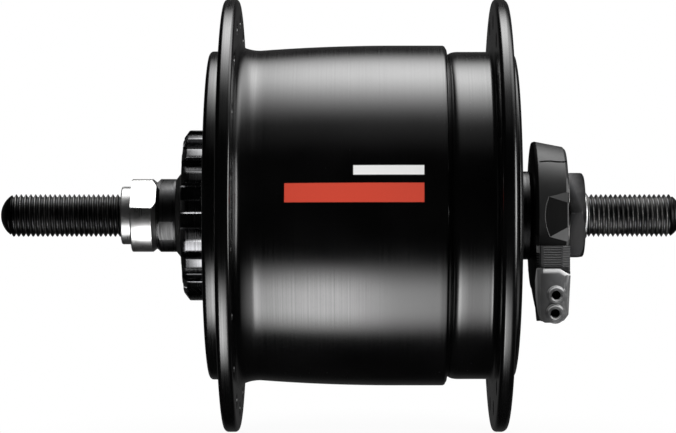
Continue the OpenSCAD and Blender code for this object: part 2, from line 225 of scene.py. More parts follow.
def join(name, parts, angle=SHARP):
    """One object from several, each kept as its own closed shell."""
    bm = bmesh.new()
    for part in parts:
        bm.from_mesh(part.data)
    mesh = bpy.data.meshes.new(name)
    bm.to_mesh(mesh)
    bm.free()
    for part in parts:
        bpy.data.objects.remove(part)
    smooth(mesh, angle)
    return link(name, mesh)


def bake(ob):
    """Applies the object's modifiers."""
    depsgraph = bpy.context.evaluated_depsgraph_get()
    mesh = bpy.data.meshes.new_from_object(ob.evaluated_get(depsgraph))
    ob.modifiers.clear()
    ob.data = mesh


def cut(ob, tool, op="DIFFERENCE", angle=SHARP):
    """Boolean of ob with tool, which is used up."""
    modifier = ob.modifiers.new("cut", "BOOLEAN")
    modifier.operation = op
    modifier.solver = "EXACT"
    modifier.object = tool
    bake(ob)
    bpy.data.objects.remove(tool)
    with editing(ob.data) as bm:
        bmesh.ops.dissolve_degenerate(bm, edges=bm.edges, dist=1e-7)
    smooth(ob.data, angle)


def bevel(ob, width, seg=3, angle=30):
    modifier = ob.modifiers.new("bevel", "BEVEL")
    modifier.width = width * 0.001
    modifier.segments = seg
    modifier.limit_method = "ANGLE"
    modifier.angle_limit = math.radians(angle)
    modifier.harden_normals = True
    modifier.use_clamp_overlap = True
    modifier.miter_outer = "MITER_ARC"
    bake(ob)


def give(ob, body, slot, finish, *replaces):
    ob.data.materials.clear()
    ob.data.materials.append(finish.material)
    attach(ob, body)
    if replaces:
        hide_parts(*replaces)


# --------------------------------------------------------------------------
# Shader helpers. Coordinates are the row frame's, in metres.
# --------------------------------------------------------------------------

FALL = (1, 0)  # a ramp that goes down


class Graph:
    """A cleared node tree and short ways to add nodes to it."""

    math_inputs = 3  # how many inputs of a Math node are set

    def __init__(self, owner):
        owner.use_nodes = True
        self.tree = owner.node_tree
        self.tree.nodes.clear()

    def node(self, kind):
        return self.tree.nodes.new(kind)

    def put(self, socket, value):
        if isinstance(value, bpy.types.NodeSocket):
            self.tree.links.new(value, socket)
        else:
            socket.default_value = value

    def split(self, vector):
        node = self.node("ShaderNodeSeparateXYZ")
        self.put(node.inputs[0], vector)
        return node.outputs

    def math(self, op, a, b=0.0, c=0.0, clamp=False):
        node = self.node("ShaderNodeMath")
        node.operation = op
        node.use_clamp = clamp
        for socket, value in zip(node.inputs, (a, b, c)[:self.math_inputs]):
            self.put(socket, value)
        return node.outputs[0]

    def add(self, a, b, clamp=False):
        return self.math("ADD", a, b, clamp=clamp)

    def sub(self, a, b):
        return self.math("SUBTRACT", a, b)

    def mul(self, a, b):
        return self.math("MULTIPLY", a, b)

    def ramp(self, value, span=(0.3, 0.7), to=(0, 1)):
        """A smooth step; the default span covers most of a noise texture's range."""
        node = self.node("ShaderNodeMapRange")
        node.interpolation_type = "SMOOTHSTEP"
        self.put(node.inputs["Value"], value)
        node.inputs["From Min"].default_value, node.inputs["From Max"].default_value = span
        node.inputs["To Min"].default_value, node.inputs["To Max"].default_value = to
        return node.outputs["Result"]


class Finish(Graph):
    """A Principled material; keyword arguments are values of its inputs."""

    def __init__(self, name, **values):
        self.material = bpy.data.materials.new(name)
        super().__init__(self.material)
        out = self.node("ShaderNodeOutputMaterial")
        self.shader = self.node("ShaderNodeBsdfPrincipled")
        self.put(out.inputs[0], self.shader.outputs[0])
        self.coords = self.node("ShaderNodeTexCoord").outputs["Object"]
        for key, value in values.items():
            self.set(key, value)

    @cached_property
    def position(self):
        return self.split(self.coords)

    @property
    def x(self):
        return self.position[0]

    @property
    def y(self):
        return self.position[1]

    @property
    def z(self):
        return self.position[2]

    def set(self, name, value):
        self.put(self.shader.inputs[name], value)

    def current(self, name):
        return self.shader.inputs[name].links[0].from_socket

    def noise(self, scale, detail=4.0, roughness=0.55, along=None):
        """3D noise, or 1D noise where a value to run along is given."""
        node = self.node("ShaderNodeTexNoise")
        node.noise_dimensions = "1D" if along else "3D"
        node.inputs["Scale"].default_value = scale
        node.inputs["Detail"].default_value = detail
        node.inputs["Roughness"].default_value = roughness
        self.put(node.inputs["W" if along else "Vector"], along or self.coords)
        return node.outputs[0]

    def mix(self, share, first, second):
        node = self.node("ShaderNodeMix")
        node.data_type = "RGBA"
        self.put(node.inputs[0], share)
        for index, colour in ((6, first), (7, second)):
            is_socket = isinstance(colour, bpy.types.NodeSocket)
            self.put(node.inputs[index], colour if is_socket else (*colour, 1))
        return node.outputs[2]

    def clouded(self, cloud, dark, pale):
        return self.mix(self.ramp(cloud, span=(0.35, 0.7)), dark, pale)

    def tint(self, share, colour):
        """Lays a colour over the base colour."""
        self.set("Base Color", self.mix(share, self.current("Base Color"), colour))

    def radius(self):
        """Distance from the axle's line."""
        squares = self.add(self.mul(self.x, self.x), self.mul(self.z, self.z))
        return self.math("SQRT", squares)

    def bump(self, height, distance, strength, normal=None):
        node = self.node("ShaderNodeBump")
        node.inputs["Strength"].default_value = strength
        node.inputs["Distance"].default_value = distance
        self.put(node.inputs["Height"], height)
        if normal:
            self.put(node.inputs["Normal"], normal)
        return node.outputs[0]

    def band(self, value, span, soft):
        """One inside the span, with both edges softened."""
        low, high = span
        up = self.ramp(value, span=(low - soft, low + soft))
        return self.mul(up, self.ramp(value, span=(high - soft, high + soft), to=FALL))

    def waves(self, value, pitch):
        return self.math("SINE", self.mul(value, 2 * math.pi / pitch))

    def turned_lines(self, scale):
        """Fine lines round the axle: noise that changes only along it and with radius."""
        path = self.add(self.y, self.mul(self.radius(), 0.91))
        return self.noise(scale=scale, detail=3.0, roughness=0.6, along=path)


def shade(colour, share):
    return tuple(channel * share for channel in colour)


# --------------------------------------------------------------------------
# Materials
# --------------------------------------------------------------------------


def black_shell(name):
    """Glossy black with turning lines, faint clouds and dust."""
    mat = Finish(name, IOR=1.5, Roughness=0.2)
    lines = mat.turned_lines(scale=3000.0)
    coarse = mat.turned_lines(scale=500.0)
    cloud = mat.noise(scale=55.0, detail=3.0)
    dust = mat.noise(scale=2400.0, detail=2.0)
    mat.set("Base Color", mat.clouded(
        cloud, dark=(0.0008, 0.0008, 0.0009), pale=(0.0018, 0.0018, 0.0019)))
    rough = mat.add(mat.ramp(lines, to=(0.168, 0.232)),
                    mat.ramp(cloud, span=(0.3, 0.75), to=(-0.015, 0.025)))
    mat.set("Roughness", mat.add(rough, mat.ramp(dust, span=(0.62, 0.8), to=(0, 0.05))))
    height = mat.add(lines, mat.mul(coarse, 0.4))
    normal = mat.bump(height, distance=2.2e-6, strength=0.27)
    mat.set("Normal", mat.bump(dust, distance=1.5e-6, strength=0.25, normal=normal))
    return mat


def printed_bars(mat):
    """Two plain printed bars on the barrel, measured in millimetres along the axle and
    round the barrel upwards from its front."""
    barrel_r, soft_edge = 35.0, 0.09
    angle = mat.math("ARCTAN2", mat.z, mat.mul(mat.x, -1.0))
    around = mat.mul(angle, barrel_r)
    axial = mat.mul(mat.y, -1000.0)
    outer = mat.ramp(mat.radius(), span=(0.0332, 0.0335))

    def bar(along_axle, round_barrel):
        return mat.mul(mat.band(axial, along_axle, soft_edge),
                       mat.band(around, round_barrel, soft_edge))

    white = bar(along_axle=(2.6, 16.4), round_barrel=(8.0, 9.9))
    red = bar(along_axle=(-10.8, 16.4), round_barrel=(2.6, 6.4))
    white = mat.mul(white, outer)
    red = mat.mul(red, outer)
    speck = mat.noise(scale=9000.0, detail=2.0)
    white_ink = mat.mix(speck, (0.88, 0.88, 0.87), (0.93, 0.93, 0.92))
    red_ink = mat.mix(speck, (0.62, 0.050, 0.022), (0.72, 0.062, 0.028))
    mat.tint(red, red_ink)
    mat.tint(white, white_ink)
    ink = mat.add(red, white, clamp=True)
    mat.set("Roughness", mat.add(mat.current("Roughness"), mat.mul(ink, 0.18)))
    normal = mat.current("Normal")
    mat.set("Normal", mat.bump(ink, distance=8e-6, strength=0.4, normal=normal))
    return mat


def plastic(name, dark, pale, rough, spec=0.5):
    """Moulded plastic with a fine spark-eroded grain."""
    mat = Finish(name, IOR=1.46)
    mat.set("Specular IOR Level", spec)
    fine = mat.noise(scale=7000.0, detail=3.0, roughness=0.65)
    cloud = mat.noise(scale=160.0)
    mat.set("Base Color", mat.clouded(cloud, dark, pale))
    mat.set("Roughness", mat.add(mat.ramp(fine, to=(rough - 0.05, rough + 0.07)),
                                 mat.ramp(cloud, to=(-0.03, 0.04))))
    normal = mat.bump(fine, distance=1.2e-5, strength=0.35)
    mat.set("Normal", mat.bump(cloud, distance=6e-5, strength=0.15, normal=normal))
    return mat


def steel(name, dark, pale, rough=0.3, line_depth=0.5, line_scale=2600.0, speckle=0.0,
          sheen=1.0):
    """Turned or ground metal: fine lines round the axle and a clouded tone."""
    mat = Finish(name, Metallic=1.0)
    lines = mat.turned_lines(scale=line_scale)
    cloud = mat.noise(scale=220.0)
    fine = mat.noise(scale=6000.0, detail=3.0)
    mat.set("Base Color", mat.clouded(cloud, dark, pale))
    if speckle:
        mat.tint(mat.ramp(fine, span=(0.55, 0.75), to=(0, speckle)), shade(dark, 0.45))
    line_rough = mat.ramp(lines, to=(rough - 0.06 * sheen, rough + 0.08 * sheen))
    mat.set("Roughness", mat.add(line_rough, mat.ramp(cloud, to=(-0.03, 0.05))))
    normal = mat.bump(lines, distance=6e-6 * line_depth, strength=0.5)
    mat.set("Normal", mat.bump(fine, distance=3e-6, strength=0.2, normal=normal))
    return mat


def thread_steel():
    """Black plated thread with crests worn pale; painted shade darkens the brake side thread and
    the domed tips.
    """
    mat = steel("thread_black_zinc", dark=(0.085, 0.085, 0.087), pale=(0.145, 0.144, 0.144),
                rough=0.34, line_depth=0.4)
    worn = mat.ramp(mat.radius(), span=(0.0041, 0.00434), to=(0, 0.85))
    patches = mat.noise(scale=900.0, detail=3.0)
    worn = mat.mul(worn, mat.ramp(patches, span=(0.3, 0.6), to=(0.45, 1.0)))
    mat.tint(worn, (0.55, 0.54, 0.53))
    # painted shade: the brake side thread is darkened, standing in for the weaker light on that
    # side
    mat.tint(mat.ramp(mat.y, span=(-0.01, 0.01), to=(0, 0.55)), (0.008, 0.008, 0.008))
    # painted shade: the domed tips are darkened
    tips = mat.ramp(mat.math("ABSOLUTE", mat.y), span=(0.0674, 0.0679))
    mat.tint(tips, (0.010, 0.010, 0.010))
    return mat


def paint_shade_below(mat, dark, amount):
    """Paints shade on the facets that look down: their base colour is darkened."""
    normal = mat.split(mat.node("ShaderNodeNewGeometry").outputs["True Normal"])
    mat.tint(mat.ramp(normal[2], span=(-0.15, 0.15), to=(amount, 0)), shade(dark, 0.25))
    return mat


def housing_plastic():
    """Black plastic with a parting line over the drum; painted shade darkens the parting line, the
    face toward the hub and the scoop's floor and takes most of their reflection, and a painted
    highlight makes the scoop's walls paler."""
    mat = plastic("housing_black", dark=(0.005, 0.005, 0.005), pale=(0.008, 0.008, 0.0082),
                  rough=0.40)
    seam_height, scoop_half_height = 0.01095, 0.0075
    # the drum's own cone surface: radius at its inner end and taper per millimetre
    cone_z, cone_r, cone_taper = 39.9, 0.0153, 0.0001923
    axial = mat.mul(mat.y, -1000.0)  # millimetres

    # the parting line: a bumped groove with painted shade along it
    wave = mat.mul(mat.math("SINE", mat.mul(axial, 1.3)), 0.00008)
    off_seam = mat.math("ABSOLUTE", mat.sub(mat.add(mat.z, wave), seam_height))
    seam = mat.ramp(off_seam, span=(0.00008, 0.0002), to=FALL)
    seam = mat.mul(seam, mat.ramp(axial, span=(40.1, 40.6)))

    # painted shade on the face toward the hub, without the tongue's front edge
    face = mat.split(mat.node("ShaderNodeNewGeometry").outputs["True Normal"])
    faces_front = mat.math("LESS_THAN", face[0], -0.6)
    at_tongue = mat.mul(mat.math("LESS_THAN", mat.x, -0.0145),
                        mat.math("LESS_THAN", mat.z, -0.0061))
    edge_on = mat.mul(faces_front, at_tongue)
    inner = mat.mul(mat.ramp(axial, span=(39.95, 40.15), to=FALL), mat.sub(1.0, edge_on))

    # inside the scoop: deeper than the cone surface
    surface = mat.sub(cone_r, mat.mul(mat.sub(axial, cone_z), cone_taper))
    deep = mat.ramp(mat.sub(surface, mat.radius()), span=(0.00002, 0.00006))
    level = mat.math("LESS_THAN", mat.math("ABSOLUTE", mat.z), scoop_half_height)
    pocket = mat.mul(deep, mat.mul(level, mat.math("LESS_THAN", mat.x, -0.0088)))
    pocket = mat.mul(pocket, mat.ramp(axial, span=(46.0, 46.15), to=FALL))
    upright = mat.ramp(mat.math("ABSOLUTE", face[2]), span=(0.16, 0.26), to=FALL)
    # painted shade on the scoop's floor
    scoop_floor = mat.mul(pocket, upright)
    # painted highlight: the scoop's walls are made paler
    scoop_walls = mat.mul(pocket, mat.sub(1.0, upright))

    # painted shade: the parting line, the face toward the hub and the scoop's floor are darkened
    # and lose most of their reflection
    dark = mat.add(mat.add(seam, inner), scoop_floor, clamp=True)
    # painted highlight on the scoop's walls
    mat.tint(scoop_walls, (0.052, 0.052, 0.052))
    mat.tint(dark, (0.002, 0.002, 0.002))
    mat.set("Specular IOR Level", mat.mul(mat.sub(1.0, mat.mul(dark, 0.975)), 0.5))
    mat.set("Normal", mat.bump(mat.mul(seam, -1.0), distance=1.2e-4, strength=0.8,
                               normal=mat.current("Normal")))
    return mat


def cover_plastic():
    """Grey plastic with painted light: a painted highlight along the edges that face up and
    forward, and painted shade that darkens it toward the hub and on the right flank and weakens
    its reflection on the right flank and below."""
    mat = plastic("cover_grey", dark=(0.112, 0.1125, 0.114), pale=(0.138, 0.1385, 0.140),
                  rough=0.3, spec=0.8)
    geometry = mat.node("ShaderNodeNewGeometry").outputs
    face = mat.split(geometry["Normal"])
    spot = mat.split(geometry["Position"])
    up = mat.math("MULTIPLY_ADD", mat.math("MINIMUM", face[1], 0.0), 0.25, face[2])
    flank = mat.mul(mat.ramp(face[1], span=(-0.15, -0.5)),
                    mat.ramp(up, span=(0.05, 0.35), to=FALL))
    under = mat.ramp(face[2], span=(-0.08, -0.45))
    # painted shade: darker toward the hub and on the right flank
    tone = mat.mul(mat.ramp(spot[1], span=(-0.0398, -0.0446), to=(0.38, 1.0)),
                   mat.math("MULTIPLY_ADD", flank, -0.5, 1.0))
    base = mat.mix(tone, (0.004, 0.004, 0.004), mat.current("Base Color"))
    mat.set("Base Color", base)
    # painted highlight: paler where the edges face up and forward
    pale = mat.mul(mat.ramp(up, span=(0.08, 0.5)), mat.ramp(face[0], span=(-0.25, -0.5)))
    mat.tint(pale, (0.60, 0.60, 0.60))
    # painted shade: weaker reflection on the right flank and below
    mat.set("Specular IOR Level", mat.mul(mat.math("MULTIPLY_ADD", flank, -0.7, 0.8),
                                          mat.math("MULTIPLY_ADD", under, -0.6, 1.0)))
    return mat


NUT_TONES = dict(dark=(0.026, 0.026, 0.027), pale=(0.045, 0.044, 0.044))
CONE_TONES = dict(dark=(0.025, 0.025, 0.026), pale=(0.05, 0.05, 0.05))

PRINTED_BLACK = printed_bars(black_shell("shell_black_printed"))
SHELL_BLACK = black_shell("shell_black")
CARRIER_STEEL = steel("carrier_black", dark=(0.075, 0.075, 0.078), pale=(0.11, 0.11, 0.112),
                      rough=0.2, line_depth=0.25)
THREAD_STEEL = thread_steel()
# painted shade on the facets that look down, for the right lock nut and the right cone
NUT_STEEL = paint_shade_below(steel("nut_black_zinc", **NUT_TONES, rough=0.34, speckle=0.35),
                       dark=NUT_TONES["dark"], amount=0.75)
CONE_STEEL_SHADED_BELOW = paint_shade_below(steel("cone_black_shaded_below", **CONE_TONES),
                              dark=CONE_TONES["dark"], amount=0.8)
CONE_STEEL = steel("cone_black", **CONE_TONES)
BRIGHT_STEEL = steel("nut_bright", dark=(0.66, 0.66, 0.655), pale=(0.74, 0.74, 0.735),
                     line_depth=0.05, line_scale=5200.0, sheen=0.3)
HOUSING_PLASTIC = housing_plastic()
PLUG_PLASTIC = plastic("plug_black", dark=(0.036, 0.036, 0.0365),
                       pale=(0.052, 0.052, 0.0525), rough=0.36)
COVER_PLASTIC = cover_plastic()
SEAL_PLASTIC = plastic("seal_black", dark=(0.006, 0.006, 0.006), pale=(0.01, 0.01, 0.01),
                       rough=0.5)

# --------------------------------------------------------------------------
# Hub shell. Profiles are (radius, z) or (radius, z, fillet radius).
# --------------------------------------------------------------------------

FLANGE_R, FLANGE_HALF = 44.65, 1.5
FLANGE_ROOT_R = FLANGE_R - 5.5
RIM_ROUND = 0.85
LEFT_Z, RIGHT_Z = -22.43, 32.61  # mid planes of the flanges
HOLE_COUNT, HOLE_CIRCLE_R, HOLE_R = 18, 40, 1.3
HOLE_LAND, SINK_R, SINK_DEPTH = 1.16, 2.55, 2.4  # straight half length, countersink cutter
BARREL_R = 35.1


def barrel(z):
    """The barrel's radius, easing down towards the brake side."""
    return BARREL_R - 1.2 * (max(0.0, 11 - z) / 29.5) ** 2


def hole_tools(name, z, first):
    """Cutters for the spoke holes, each with a small countersink at both faces."""
    profile = [(0, -SINK_DEPTH), (SINK_R, -SINK_DEPTH), (HOLE_R, -HOLE_LAND),
               (HOLE_R, HOLE_LAND), (SINK_R, SINK_DEPTH), (0, SINK_DEPTH)]
    tools = []
    for i in range(HOLE_COUNT):
        q = math.radians(first + i * 360 / HOLE_COUNT)
        x, y = HOLE_CIRCLE_R * math.cos(q), HOLE_CIRCLE_R * math.sin(q)
        tools.append(revolve(f"{name}_{i}", profile, 40,
                             lambda u, v, w: (x + u, y + v, z + w)))
    return join(name, tools)


def flange(z, upper=RIM_ROUND):
    """Outline of a flange from its lower z face round the rim to its upper z face."""
    low, high = z - FLANGE_HALF, z + FLANGE_HALF
    return (
        [(FLANGE_ROOT_R, low)]
        + arc(FLANGE_R - RIM_ROUND, low + RIM_ROUND, RIM_ROUND, -90, 0, 12)
        + arc(FLANGE_R - upper, high - upper, upper, 0, 90, 16)
        + [(FLANGE_ROOT_R, high)]
    )


def soft_fillet(z_face, big, small, turn, steps=40):
    """Fillet from a flange face down to the barrel: tight at the flange, easing out over
    the last `turn` degrees."""
    sine = math.sin(math.radians(turn))
    z = z_face + big * sine + small * (1 - sine)
    r, out = barrel(z), []
    for i in range(steps):
        degrees = (i + 0.5) * 90 / steps
        q = math.radians(degrees)
        step = (big if degrees < turn else small) * math.radians(90 / steps)
        z, r = z - math.cos(q) * step, r + math.sin(q) * step
        out.append((r, max(z, z_face)))
    return out[::-1]


main_profile = (
    [(32.0, LEFT_Z - FLANGE_HALF)]
    + flange(LEFT_Z)
    + soft_fillet(LEFT_Z + FLANGE_HALF, big=9.0, small=2.4, turn=17)
    + [(barrel(z * 0.5), z * 0.5) for z in range(-33, 42, 3)]
    + arc(34.5, 20.8, 0.6, 0, 75, 8)
    + [(34.3, 21.6), (33.42, 21.75), (33.3, 21.9), (32.0, 21.9)]
)
shell_main = revolve("hub_shell_main_vis", main_profile, 288)
cut(shell_main, hole_tools("holes_left", LEFT_Z, first=189.3))
give(shell_main, "hub_shell", "black_shell", PRINTED_BLACK, "hub_shell_main")

right_inner_face = RIGHT_Z - FLANGE_HALF
right_profile = (
    [(30.0, 15.0), (31.97, 15.0), (31.97, 21.93), (33.2, 21.93), (33.34, 22.05), (33.5, 22.3),
     (33.62, 22.6), (33.71, 22.95), (33.77, 23.35), (33.8, 23.9), (33.8, 25.5), (33.8, 27.5),
     (33.8, 29.0), (33.81, 29.5)]
    + arc(BARREL_R, right_inner_face - 1.3, 1.3, 178, 90, 12)
    + flange(RIGHT_Z, upper=1.2)
    + [(33.9, RIGHT_Z + FLANGE_HALF), (30.0, RIGHT_Z + FLANGE_HALF)]
)
shell_right = revolve("hub_shell_right_vis", right_profile, 288)
cut(shell_right, hole_tools("holes_right", RIGHT_Z, first=179.0))
give(shell_right, "hub_shell", "black_shell", SHELL_BLACK, "hub_shell_right")

end_cap_profile = [
    (15.02, -27.0, 0.15), (19.6, -27.0, 0.3), (20.0, -26.7, 0.3), (26.9, -26.7, 0.4),
    (27.4, -27.0, 0.4), (33.9, -27.0, 0.8), (33.9, -23.96), (31.97, -23.96), (31.97, -21.0),
    (30.9, -21.0), (30.9, -19.6), (31.97, -19.6), (31.97, -17.4), (31.6, -17.0),
    (29.5, -17.0), (29.5, -24.0), (20.5, -24.0), (19.0, -22.6), (15.02, -22.6),
]
end_cap = revolve("brake_side_end_cap_vis", rounded(end_cap_profile, 5), 256)
give(end_cap, "hub_shell", "black_shell", SHELL_BLACK, "brake_side_end_cap")

end_cover_profile = [
    (14.2, 35.8, 0.25), (14.2, 34.2), (16.0, 34.2), (16.0, 26.5), (18.5, 26.5), (18.5, 33.0),
    (27.5, 33.0), (27.5, 30.0), (29.6, 30.0), (29.97, 30.4), (29.97, 31.2), (28.9, 31.2),
    (28.9, 32.6), (29.97, 32.6), (29.97, 34.13), (33.75, 34.13), (33.6, 35.2, 0.3),
    (33.0, 35.65, 0.3), (32.2, 35.8, 0.5), (24.6, 35.8, 0.4), (24.2, 35.45, 0.4),
    (17.2, 35.45, 0.4), (16.8, 35.8, 0.4),
]
end_cover = revolve("right_end_cover_vis", rounded(end_cover_profile, 5), 256)
give(end_cover, "hub_shell", "black_shell", SHELL_BLACK, "right_end_cover")

# --------------------------------------------------------------------------
# Brake carrier: splines with softened edges
# --------------------------------------------------------------------------

SPLINE_COUNT, FIRST_SPLINE = 18, 173.7
SPLINE_TIP_R, SPLINE_ROOT_R = 17.6, 15.7
SPLINE_HALF = 4.1  # half a spline's width, in degrees
SPLINE_SOFT = 0.16  # softening of the tip's edges
FOOT_WIDTH, FOOT_HEIGHT = 0.22, 0.14
ROOT_CHAMFER_Z = 31.9
# (z, largest radius allowed)
SPLINE_LEVELS = [(-27.02, 99), (-31.05, 99), (-31.22, 17.56), (-31.35, 17.42),
                 (-32.1, 16.4), (-32.24, 16.2), (-32.3, 16.0)]
# (radius, z) of the round end face and bore
CARRIER_INSIDE = [(14.6, -32.3), (14.3, -32.2), (12.8, -32.2), (12.6, -32.0), (12.6, -31.3),
                  (14.0, -30.6), (14.0, -22.6), (15.0, -22.6), (15.0, -27.02)]


def spline_outline():
    """Points (angle in degrees, radius) round all the splines."""
    pitch = 360 / SPLINE_COUNT
    gap = pitch - 2 * SPLINE_HALF
    edge = math.degrees(SPLINE_SOFT / SPLINE_TIP_R)
    foot = math.degrees(FOOT_WIDTH / SPLINE_ROOT_R)
    rise = [
        (-SPLINE_HALF - foot, SPLINE_ROOT_R),
        (-SPLINE_HALF, SPLINE_ROOT_R + FOOT_HEIGHT),
        (-SPLINE_HALF, SPLINE_TIP_R - SPLINE_SOFT),
        (-SPLINE_HALF + edge * 0.3, SPLINE_TIP_R - SPLINE_SOFT * 0.3),
        (-SPLINE_HALF + edge, SPLINE_TIP_R),
    ]
    crown = [(t * SPLINE_HALF * 1.2, SPLINE_TIP_R) for t in (-0.4, 0.0, 0.4)]
    fall = [(-angle, r) for angle, r in reversed(rise)]
    valley = [(SPLINE_HALF + gap * t, SPLINE_ROOT_R) for t in (0.33, 0.66)]
    one = rise + crown + fall + valley
    return [(FIRST_SPLINE + i * pitch + angle, r) for i in range(SPLINE_COUNT)
            for angle, r in one]


def spline_ring():
    outline = spline_outline()
    levels = []  # (z, a radius for each point of the outline)
    for z, largest in SPLINE_LEVELS:
        radii = [min(r, largest) for _, r in outline]
        if z < -ROOT_CHAMFER_Z:
            root = SPLINE_ROOT_R - (abs(z) - ROOT_CHAMFER_Z) * 0.5
            radii = [min(r, root) if r <= SPLINE_ROOT_R + 0.01 else r for r in radii]
        levels.append((z, radii))
    levels += [(z, [r] * len(outline)) for r, z in CARRIER_INSIDE]
    rings = [
        [(r * math.cos(math.radians(angle)), r * math.sin(math.radians(angle)), z)
         for (angle, _), r in zip(outline, radii)]
        for z, radii in levels
    ]
    return skin("brake_spline_ring_vis", rings, angle=28)


give(spline_ring(), "hub_shell", "black_carrier", CARRIER_STEEL, "brake_spline_ring")

# --------------------------------------------------------------------------
# Axle: helical M9 x 1 threads on both ends
# --------------------------------------------------------------------------

CREST, ROOT, PITCH = 4.4, 3.79, 1.0
CREST_SHARE, ROOT_SHARE = 0.10, 0.78  # where the flank starts and ends, crest 0 to root 1
TIP_ROUND = 0.02
AXLE_TIP, THREAD_END = 70.4, 70.36
DOME_H = 2.6
DOME_R = (CREST**2 + DOME_H**2) / (2 * DOME_H)
LEFT_THREAD_Z, RIGHT_THREAD_Z = -40.0, 45.6  # inner ends of the threads
SHANK_R, COLLAR_R = 4.37, 6.0
THREAD_SHARP = 50


def thread_r(phase):
    """Radius across one pitch: rounded root, 60 degree flanks, narrow rounded crest."""
    u = abs(phase - math.floor(phase) - 0.5) * 2  # 0 at the crest, 1 at the root
    if u < CREST_SHARE:
        return CREST - TIP_ROUND * (u / CREST_SHARE) ** 2
    if u > ROOT_SHARE:
        return ROOT + TIP_ROUND * ((1 - u) / (1 - ROOT_SHARE)) ** 2
    t = (u - CREST_SHARE) / (ROOT_SHARE - CREST_SHARE)
    return (CREST - TIP_ROUND) * (1 - t) + (ROOT + TIP_ROUND) * t


def thread(name, z0, z1, n=72, per_pitch=12):
    """A threaded stretch from z0 to z1, domed where it nears the axle's tip."""
    points, faces = [], []
    steps = int((z1 - z0 + 2 * PITCH) / PITCH * per_pitch) + 1
    for j in range(steps):
        start = z0 - PITCH + j * PITCH / per_pitch
        for k in range(n + 1):
            q = 2 * math.pi * k / n
            z = min(max(start + PITCH * k / n, z0), z1)
            r = thread_r((z - PITCH * k / n) / PITCH)
            reach = AXLE_TIP - abs(z)
            if reach < DOME_H:
                h = DOME_R - max(reach, 0.0)
                r = min(r, math.sqrt(max(DOME_R**2 - h * h, 0.0)))
            points.append((r * math.cos(q), r * math.sin(q), z))
    for j in range(steps - 1):
        for k in range(n):
            a = j * (n + 1) + k
            faces.append((a, a + 1, a + n + 2, a + n + 1))
    ob = raw_object(name, points, faces)
    with editing(ob.data) as bm:
        bmesh.ops.remove_doubles(bm, verts=bm.verts, dist=2e-6)
        bmesh.ops.dissolve_degenerate(bm, edges=bm.edges, dist=1e-6)
        # close the two ends
        open_edges = [edge for edge in bm.edges if edge.is_boundary]
        bmesh.ops.holes_fill(bm, edges=open_edges, sides=0)
        bmesh.ops.recalc_face_normals(bm, faces=bm.faces)
    return ob


thread_left = thread("t_left", -THREAD_END, LEFT_THREAD_Z)
thread_right = thread("t_right", RIGHT_THREAD_Z, THREAD_END)
# the shank stops a hair inside the threads
shank_left, shank_right = LEFT_THREAD_Z + 0.001, RIGHT_THREAD_Z - 0.001
shank_profile = [
    (0, shank_left), (SHANK_R, shank_left), (SHANK_R, -22.0), (COLLAR_R, -22.0, 0.3),
    (COLLAR_R, -17.4), (5.4, -17.4), (5.4, -16.05), (COLLAR_R, -16.05), (COLLAR_R, 24.0, 0.3),
    (SHANK_R, 24.0), (SHANK_R, shank_right), (0, shank_right),
]
shank = revolve("axle_mid", rounded(shank_profile, 3), 96)
cut(shank, block("groove", x=(-1.3, 1.3), y=(-8, -3.2), z=(18, 45.2)))
axle = join("axle_threaded", [thread_left, shank, thread_right], THREAD_SHARP)
give(axle, "stator", "dark_steel", THREAD_STEEL, "axle")

# --------------------------------------------------------------------------
# Nuts, cones and seals
# --------------------------------------------------------------------------

BORE_R = 4.42  # bore of the pieces that sit on the axle
RACE_R = 2.41  # hollow of a cone's ball race


def wrench_flats(ob, across, angle, span):
    """Cuts two flats over a span of z; one flat's normal is at angle degrees."""
    near, far, half_width = across / 2, across / 2 + 8, 12
    corners = [(near, -half_width), (far, -half_width), (far, half_width), (near, half_width)]
    for turn in (0, 180):
        q = math.radians(angle + turn)
        cos, sin = math.cos(q), math.sin(q)
        outline = [(a * cos + b * -sin, a * sin + b * cos) for a, b in corners]
        cut(ob, prism("flat", outline, span))


left_nut_profile = [
    (BORE_R, -45.3, 0.25), (5.97, -45.3, 0.3), (5.97, -43.2, 0.12), (7.52, -43.2, 0.28),
    (7.52, -38.85, 0.1), (6.85, -38.04, 0.1), (BORE_R, -38.04),
]
left_nut = revolve("left_lock_nut_vis", rounded(left_nut_profile), 192)
wrench_flats(left_nut, across=13.0, angle=138, span=(-43.6, -37.5))
bevel(left_nut, width=0.07, seg=2)
give(left_nut, "stator", "polished_steel", BRIGHT_STEEL, "left_lock_nut")

left_cone_body = [
    (BORE_R, -38.0), (6.85, -38.0, 0.15), (7.54, -37.25, 0.2), (7.54, -33.87, 0.1),
    (7.0, -33.87), (7.0, -31.7), (9.78, -31.0), (9.9, -29.85),
]
left_cone_profile = (
    rounded(left_cone_body)
    + arc(10.4, -27.6, RACE_R, 250, 172, 10)
    + [(7.1, -24.6), (BORE_R, -24.6)]
)
left_cone = revolve("left_cone_vis", left_cone_profile, 192)
for across, angle in ((14.0, 113), (14.55, 206)):
    wrench_flats(left_cone, across, angle, span=(-38.5, -34.4))
bevel(left_cone, width=0.06, seg=2)
give(left_cone, "stator", "dark_steel", CONE_STEEL, "left_cone")

left_seal_profile = [
    (7.03, -33.83), (7.76, -33.83, 0.1), (8.8, -33.0, 0.3), (12.4, -32.5, 0.15),
    (12.4, -31.95, 0.1), (8.7, -32.4), (7.03, -32.8),
]
left_seal = revolve("left_dust_seal_vis", rounded(left_seal_profile))
give(left_seal, "stator", "black_plastic", SEAL_PLASTIC, "left_dust_seal")

